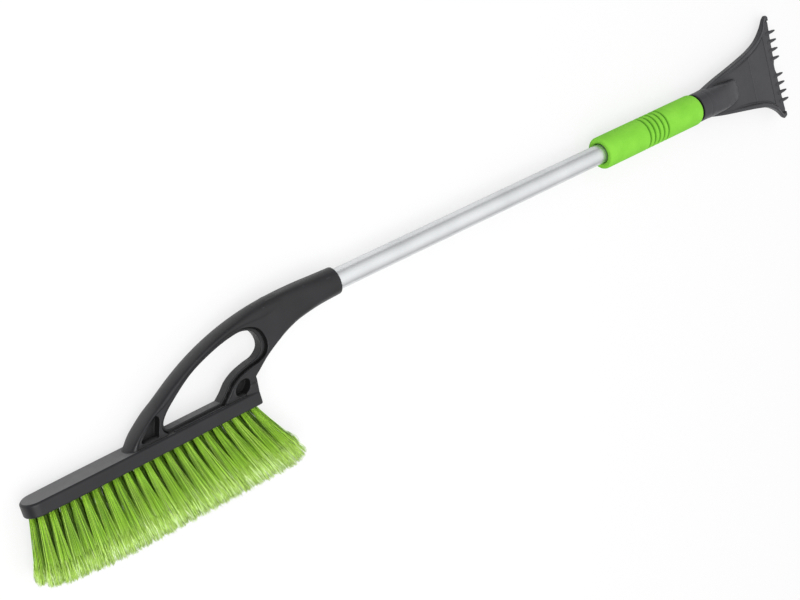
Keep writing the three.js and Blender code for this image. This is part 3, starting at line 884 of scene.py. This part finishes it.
def strand_tubes(paths, radii, sides=3):
    """Closed thin tubes along many paths at once. paths is strands x points x 3."""
    strands, count, _ = paths.shape
    turn = rng.uniform(0, 2 * math.pi, (strands, 1))
    angles = turn + 2 * math.pi * np.arange(sides) / sides
    ring = np.stack((np.cos(angles), np.zeros_like(angles), np.sin(angles)), axis=2)
    points = paths[:, :, None, :] + radii[None, :, None, None] * ring[:, None, :, :]
    points = points.reshape(-1, 3)
    faces = []
    base = np.arange(strands)[:, None] * count * sides
    for r in range(count - 1):
        for i in range(sides):
            a, b = r * sides + i, r * sides + (i + 1) % sides
            faces.append(base + np.array([[a, b, b + sides, a + sides]]))
    quads = np.stack(faces, axis=1).reshape(-1, 4)
    ends = []
    for first, order in ((0, range(sides)), ((count - 1) * sides, range(sides - 1, -1, -1))):
        ends.append(base + np.array([[first + i for i in order]]))
    return points, quads, np.vstack(ends)


def tuft_paths(centre):
    """The strands of one tuft, from the block down to their uneven tips."""
    index = np.arange(STRANDS_A_TUFT)
    reach = np.sqrt((index + 0.5) / STRANDS_A_TUFT)
    angle = index * GOLDEN_ANGLE + rng.uniform(0, 2 * math.pi)
    unit = np.column_stack((reach * np.cos(angle), reach * np.sin(angle)))
    base = np.array(centre) + TUFT_HOLE * unit
    spread = np.array(TUFT_SPREAD) * rng.uniform(0.85, 1.05, (len(unit), 1))
    tip = fan_out(*centre) + unit * spread
    tip += rng.normal(0, (0.5, 0.35), tip.shape)
    tip[:, 1] = np.clip(tip[:, 1], -TIP_LIMIT, TIP_LIMIT)
    tip_y = TIP_Y + rng.uniform(-1.3, 0.7, len(unit)) + 1.6 * unit[:, 0] ** 2 + trim_at(tip[:, 0])
    t = np.linspace(0, 1, 6)
    bow = rng.normal(0, 0.3, (len(unit), 1, 2)) * np.sin(math.pi * t)[None, :, None]
    flat = base[:, None, :] + (tip - base)[:, None, :] * (t**1.1)[None, :, None] + bow
    root_y = BLOCK_BOTTOM + RECESS_DEPTH - 1.0
    y = root_y + (tip_y[:, None] - root_y) * t[None, :]
    return np.stack((flat[:, :, 0], y, flat[:, :, 1]), axis=2)


def split_ends(paths, hairs=3):
    """Fine hairs that leave the strands near their ends and spread a little."""
    whole = paths[:, -1] - paths[:, 0]
    out = []
    for _ in range(hairs):
        begin = SPLIT_AT + rng.uniform(-0.06, 0.10, (len(paths), 1))
        start = paths[:, 0] + whole * begin
        drift = rng.normal(0, 1.0, whole.shape) * np.array((1.1, 0.3, 0.8))
        end = paths[:, -1] + drift + whole * rng.uniform(-0.045, 0.015, (len(paths), 1))
        end[:, 1] = np.maximum(end[:, 1], TIP_Y - 1.6 + trim_at(end[:, 0]))
        end[:, 2] = np.clip(end[:, 2], -TIP_LIMIT - 0.6, TIP_LIMIT + 0.6)
        middle = (start + end) / 2 + rng.normal(0, 0.3, whole.shape)
        out.append(np.stack((start, middle, end), axis=1))
    return np.concatenate(out)


def bristle_strip(number, low_x, high_x):
    """A length of the filled strip: the strands that stand in it."""
    centres = [c for c in tuft_centres() if low_x < c[0] <= high_x]
    paths = np.concatenate([tuft_paths(c) for c in centres])
    stems = strand_tubes(paths, STRAND_RADIUS * np.array((1.0, 1.0, 1.0, 1.0, 0.95, 0.75)))
    hairs = strand_tubes(split_ends(paths), np.array((0.20, 0.19, 0.13)))
    points, quads, ends = stems
    faces = [*quads.tolist(), *ends.tolist()]
    shift = len(points)
    faces += [*(hairs[1] + shift).tolist(), *(hairs[2] + shift).tolist()]
    points = np.clip(np.vstack((points, hairs[0])), *BRISTLE_LIMITS)
    made = mesh_object(f"bristle_tufts_{number}", points, faces)
    shade_smooth(made)
    return finish_piece(made, BRISTLE, "green_bristle", f"bristles_{number}")


def bristles():
    """Four lengths of the strip, parted between columns of tufts as the solids are."""
    edges = [-20.0]
    edges += [FIRST_TUFT + TUFT_PITCH * (round(TUFT_COLUMNS * n / 4) - 0.25) for n in (1, 2, 3)]
    edges.append(BLOCK_END + 10)
    for n in range(4):
        bristle_strip(n + 1, edges[n], edges[n + 1])


bristles()


# ---- Tube, foam grip and screws ----------------------------------------------
def tube():
    """The bar's wall, with its edges broken."""
    start, end = TUBE_START, TUBE_START + (tube_high.x - tube_low.x) / MM
    inner, outer, edge = TUBE_RADIUS - TUBE_WALL, TUBE_RADIUS, 0.25
    profile = [(start, inner + edge), (start + edge, inner)]
    profile += [(x, inner) for x in np.linspace(start + 20, end - 20, 12)]
    profile += [(end - edge, inner), (end, inner + edge)]
    profile += [(end, outer - edge), (end - edge, outer)]
    profile += [(x, outer) for x in np.linspace(end - 20, start + 20, 12)]
    profile += [(start + edge, outer), (start, outer - edge)]
    made = lathe("aluminium_tube_bar", profile, 128)
    shade_smooth(made)
    return finish_piece(made, ALUMINIUM, "aluminium_tube", "tube")


def foam_grip():
    """A sleeve with a blunt left end, a rounder right end and ring grooves between them."""
    inner = TUBE_RADIUS + BORE_CLEARANCE
    mouth = [(0.7, 0), (0.5, 0.3), (0.3, 1.6), (0.1, 2.7)]
    profile = [(FOAM_START + x, inner + out) for x, out in mouth]
    profile += arc((FOAM_START + 2.4, FOAM_RADIUS - 2.6), 2.6, 160, 90, 10).tolist()
    first = FOAM_GROOVE_MIDDLE - FOAM_GROOVE_PITCH * (FOAM_GROOVES - 1) / 2
    for x in np.linspace(FOAM_START + 6, FOAM_END - 6.5, 260):
        groove = np.clip(round((x - first) / FOAM_GROOVE_PITCH), 0, FOAM_GROOVES - 1)
        nearest = first + FOAM_GROOVE_PITCH * groove
        depth = FOAM_GROOVE_DEPTH * math.exp(-((x - nearest) ** 2))
        profile.append((x, FOAM_RADIUS - depth))
    profile += arc((FOAM_END - 5.5, FOAM_RADIUS - 5.5), 5.5, 90, 0, 14).tolist()
    profile += [(FOAM_END, inner + 0.8), (FOAM_END - 1, inner)]
    profile += [(x, inner) for x in np.linspace(FOAM_END - 6, FOAM_START + 8, 12)]
    made = lathe("foam_grip_sleeve", profile, 128)
    shade_smooth(made)
    return finish_piece(made, FOAM, "green_foam", "foam_grip")


def screw(node, x, seat):
    """A pan-head screw with a cross recess, driven up from below."""
    top = seat + SCREW_HEAD_HEIGHT
    profile = [(-SCREW_TIP, 0), (-SCREW_TIP - 1.5, SCREW_SHANK_RADIUS), (-seat, SCREW_SHANK_RADIUS)]
    profile += [(-seat, SCREW_HEAD_RADIUS - 0.1), (-seat - 0.1, SCREW_HEAD_RADIUS)]
    for angle in np.radians(np.linspace(8, 82, 8)):
        radius = SCREW_HEAD_RADIUS * (0.35 + 0.65 * math.cos(angle))
        profile.append((-seat - SCREW_HEAD_HEIGHT * math.sin(angle), radius))
    profile += [(-top, 0.8), (-top, 0)]
    made = stood_up(lathe(f"{node}_cross_head", profile, 48), x)
    slots = []
    for wide, deep in ((3.6, 0.8), (0.8, 3.6)):
        corners = np.array([(-1, -1), (1, -1), (1, 1), (-1, 1)]) * (wide / 2, deep / 2)
        slots.append(plate("slot", [corners + (x, 0)], -top - 1, -top + 1))
    cut(made, *slots)
    if node == "neck_screw":
        head_turned(made)
    shade_smooth(made)
    return finish_piece(made, STEEL, "screw_steel", node)


tube()
foam_grip()
for node, (x, seat) in SCREWS.items():
    screw(node, x, seat)


# ---- Scraper head ------------------------------------------------------------
def edge_at(y):
    """Where the scraping edge lies at a distance from its middle."""
    return EDGE_X + y * y / (2 * EDGE_CURVE)


BLADE_WIDTHS = [(BLADE_START, 14), (808, 19.4), (842, 25.9), (FACET_X, 30.7), (884, 36.2)]
BLADE_WIDTHS += [(CREASE_X, 44.8), (906, 54)]
BLADE_MIDDLE = np.vstack(
    (
        spline([(BLADE_START, -0.3), (820, -1.5), (842, -2.9), (FACET_X, -4.9)]),
        spline([(FACET_X, -4.9), (884, -7.9), (CREASE_X, -9.9), (EDGE_X, -11.3)])[1:],
    )
)


def blade_ring(x, half):
    """The blade's section at x: a plate with a raised rim and a fine line along each side. It thins
    from the neck to the facet, and drops a step at the crease before the edge."""
    along = (x - BLADE_START) / (EDGE_X - BLADE_START)
    to_facet = min(1.0, (x - BLADE_START) / (FACET_X - BLADE_START))
    bevel = min(1.0, max(0.0, (x - CREASE_X) / (EDGE_X - CREASE_X)))
    middle = np.interp(x, *BLADE_MIDDLE.T)
    thick = (9.4 - 5.0 * to_facet) * (1 - bevel) + 2.6 * bevel
    s = min(max((along - 0.15) / 0.4, 0.0), 1.0)
    rise = s * s * (3 - 2 * s) * 2.6 * (1 - 0.9 * bevel)
    rim = 2.4 + 2.2 * along
    low, top = middle - thick / 2, middle + thick / 2
    high = top - CREASE_STEP if x > CREASE_X else top
    inner = half - rim - rise * 0.5 - 0.4
    line = 0.55 * s
    right = [
        (half - 0.8, low),
        (half, low + 0.8),
        (half, top + rise - 0.9),
        (half - 0.9, top + rise),
        (half - rim, top + rise * 0.85),
        (inner, high - line),
        (inner - 1.0, high - line),
        (inner - 1.9, high),
    ]
    section = [*right, *[(-y, z) for y, z in reversed(right)]]
    return np.array([(x, y, z) for y, z in section])


def blade_shell():
    """The fan blade, with square corners that the edge's hollow line cuts later."""
    widths = spline(BLADE_WIDTHS, 8)
    crease = int(np.argmin(np.abs(widths[:, 0] - CREASE_X)))
    stations = [*widths[: crease + 1], widths[crease] + (0.5, 0.4), *widths[crease + 1 :]]
    corner = [(-3, 0.2), (0, 0), (1.7, -0.8), (2.7, -2.2)]
    stations += [(EDGE_X + x, BLADE_HALF_WIDTH + out) for x, out in corner]
    return loft("blade", [blade_ring(x, half) for x, half in stations])


def hump_shell():
    """The neck's body, which flattens into the blade."""
    stations = [
        (SHOULDER, 0, NECK_RADIUS - 0.2, 0, NECK_RADIUS - 0.2),
        (SHOULDER + 5, 0, BODY_RADIUS - 0.1, 0, BODY_RADIUS - 0.1),
        (790, 0, 15, 0, 15.2, 2),
        (798, 0, 14.8, -0.1, 15, 2.3),
        (808.5, 0, 14.2, -0.6, 13.8, 3),
        (818, 0, 13.3, -1.2, 11.9, 3.4),
        (826.6, 0, 12.6, -1.8, 9.5, 3.6),
        (833.4, 0, 11.8, -2.6, 6.7, 3.4),
        (839.4, 0, 10.2, -3.4, 3.4, 2.6),
    ]
    return loft("hump", cross_rings(fine_stations(stations), 64))


def tooth_shell(y):
    """A blunt tooth that stands out of the edge at a distance from its middle."""
    root = edge_at(y)
    stations = [
        (root - 6, y, 2.1, TOOTH_Z, 1.8),
        (root - 1, y, 2.0, TOOTH_Z, 1.8),
        (root + TOOTH_LENGTH * 0.5, y, 1.6, TOOTH_Z, 1.4),
        (root + TOOTH_LENGTH - 1, y, 1.0, TOOTH_Z, 0.8),
        (root + TOOTH_LENGTH, y, 0.6, TOOTH_Z, 0.4),
    ]
    return loft("tooth", cross_rings(stations, 20))


def ball(centre, radius):
    """A ball at a place of the drawing."""
    angles = np.radians(np.linspace(0, 180, 13))
    profile = np.column_stack((-radius * np.cos(angles), radius * np.sin(angles)))
    profile[0, 1] = profile[-1, 1] = 0
    made = lathe("ball", profile, 24)
    move = Vector(centre) * MM
    for vertex in made.data.vertices:
        vertex.co += move
    return made


def scraper_head():
    neck = lathe(
        "neck",
        [
            (NECK_START, 0),
            (NECK_START, NECK_RADIUS - 0.6),
            (NECK_START + 0.6, NECK_RADIUS),
            (SHOULDER + 1, NECK_RADIUS),
            (SHOULDER + 1, 0),
        ],
    )
    bore = (NECK_START - 5, SCRAPER_BORE_END)
    teeth, dimples = [], []
    for side in (-1, 1):
        for i in range(TEETH_A_SIDE):
            y = side * (FIRST_TOOTH + TOOTH_PITCH * i)
            teeth.append(tooth_shell(y))
            dimples.append(ball((edge_at(y) - 3.4, y, TOOTH_Z + 2.6), 2.1))
    notch = plate("notch", [arc((EDGE_X + 10.4, 0), 12, 0, 355, 71)], -20, 0)
    hollow = arc((EDGE_X + EDGE_CURVE, 0), EDGE_CURVE, 173, 187, 48)
    edge = plate("edge", [np.vstack((hollow, [(EDGE_X + 60, -80), (EDGE_X + 60, 80)]))], -20, 0)
    crease = sweep("crease", [(CREASE_X + 0.4, y, -8.0) for y in np.linspace(-37, 37, 10)], 1.4)
    blade = cut(blade_shell(), notch, edge, crease, *dimples, bore_tool(*bore))
    ridge = sweep("ridge", [(FACET_X, y, -3.2) for y in np.linspace(-24, 24, 10)], 0.8)
    slits = []
    for side in (-1, 1):
        path = [(792, 15.6, 4.2), (806, 15.0, 3.8), (818, 14.0, 3.0), (828, 13.2, 2.0)]
        slits.append(sweep("slit", [(x, side * y, z) for x, y, z in path], [0.6, 1.3, 1.3, 0.7]))
    hump = cut(hump_shell(), *slits, bore_tool(*bore), screw_hole("neck_screw"))
    shells = [cut(neck, bore_tool(*bore)), hump, blade, ridge, *teeth]
    made = moulded("ice_scraper_blade_head", shells, 0.38, soften=3, keep=0.4)
    head_turned(made)
    return finish_piece(made, BLADE, "black_plastic", "scraper_head")


scraper_head()


# ---- Floor, light and camera -------------------------------------------------
def floor():
    """A plain pale floor that keeps the object's shadow. To the camera it glows white a little, and
    in reflections much less."""
    mesh = bpy.data.meshes.new("floor")
    half = 6.0
    corners = [(-half, -half, 0), (half, -half, 0), (half, half, 0), (-half, half, 0)]
    mesh.from_pydata(corners, [], [(0, 1, 2, 3)])
    made = bpy.data.objects.new("floor", mesh)
    made.location.z = -0.0004
    bpy.context.scene.collection.objects.link(made)
    n = Nodes("pale_floor")
    n.shader.inputs["Base Color"].default_value = (0.80, 0.80, 0.80, 1)
    n.shader.inputs["Roughness"].default_value = 0.9
    n.shader.inputs["Specular IOR Level"].default_value = 0.1
    glow = n.add("ShaderNodeEmission", Color=(1, 1, 1, 1), Strength=0.97)
    path = n.add("ShaderNodeLightPath").outputs
    glossy = n.span(path["Is Glossy Ray"], 0, 1, 0, 0.08)
    share = n.span(n.math("MAXIMUM", path["Is Camera Ray"], glossy), 0, 1, 0, 0.74)
    both = n.add("ShaderNodeMixShader")
    links = n.tree.links
    links.new(share, both.inputs[0])
    links.new(n.shader.outputs[0], both.inputs[1])
    links.new(glow.outputs[0], both.inputs[2])
    links.new(both.outputs[0], n.tree.nodes["Material Output"].inputs["Surface"])
    made.data.materials.append(n.material)


def softbox(name, at, aim, size, power):
    """A rectangular lamp that faces a point."""
    light = bpy.data.lights.new(name, "AREA")
    light.shape = "RECTANGLE"
    light.size, light.size_y = size
    light.energy = power
    made = bpy.data.objects.new(name, light)
    made.location = at
    made.rotation_euler = (Vector(aim) - Vector(at)).to_track_quat("-Z", "Y").to_euler()
    bpy.context.scene.collection.objects.link(made)


def studio():
    """A white tent that is brightest overhead and dims to its walls, with one soft lamp high on the
    left. The camera sees the tent as plain white."""
    world = bpy.data.worlds.new("studio")
    world.use_nodes = True
    tree = world.node_tree
    background = tree.nodes["Background"]
    background.inputs["Color"].default_value = (1, 1, 1, 1)
    brightest = (0.35, -0.04, 0.94)
    direction = tree.nodes.new("ShaderNodeTexCoord")
    towards = tree.nodes.new("ShaderNodeVectorMath")
    towards.operation = "DOT_PRODUCT"
    tree.links.new(direction.outputs["Generated"], towards.inputs[0])
    towards.inputs[1].default_value = brightest
    height = tree.nodes.new("ShaderNodeMapRange")
    tree.links.new(towards.outputs["Value"], height.inputs["Value"])
    height.inputs["From Min"].default_value = 0.1
    height.inputs["To Min"].default_value = 0.29
    height.inputs["To Max"].default_value = 1.40
    path = tree.nodes.new("ShaderNodeLightPath")
    seen = tree.nodes.new("ShaderNodeMath")
    seen.operation = "MAXIMUM"
    tree.links.new(path.outputs["Is Camera Ray"], seen.inputs[0])
    tree.links.new(path.outputs["Is Transmission Ray"], seen.inputs[1])
    strength = tree.nodes.new("ShaderNodeMix")
    tree.links.new(seen.outputs[0], strength.inputs[0])
    tree.links.new(height.outputs["Result"], strength.inputs[2])
    strength.inputs[3].default_value = 1.0
    tree.links.new(strength.outputs[0], background.inputs["Strength"])
    bpy.context.scene.world = world
    centre = (CAD_BOX[0] + CAD_BOX[1]) / 2
    softbox("key", centre + Vector((-1.1, 0.05, 1.6)), centre, (1.2, 1.2), 24)
    bpy.context.scene.view_settings.view_transform = "Standard"


def camera():
    """The camera stands before and above the brush's left half and is rolled clockwise."""
    data = bpy.data.cameras.new("camera")
    data.sensor_width, data.lens = CAMERA_SENSOR, CAMERA_LENS
    data.clip_start, data.clip_end = 0.05, 50
    made = bpy.data.objects.new("camera", data)
    made.location = ORIGIN + Vector(CAMERA_PLACE) * MM
    made.rotation_euler = [math.radians(a) for a in CAMERA_TURN]
    bpy.context.scene.collection.objects.link(made)
    bpy.context.scene.camera = made


floor()
studio()
camera()
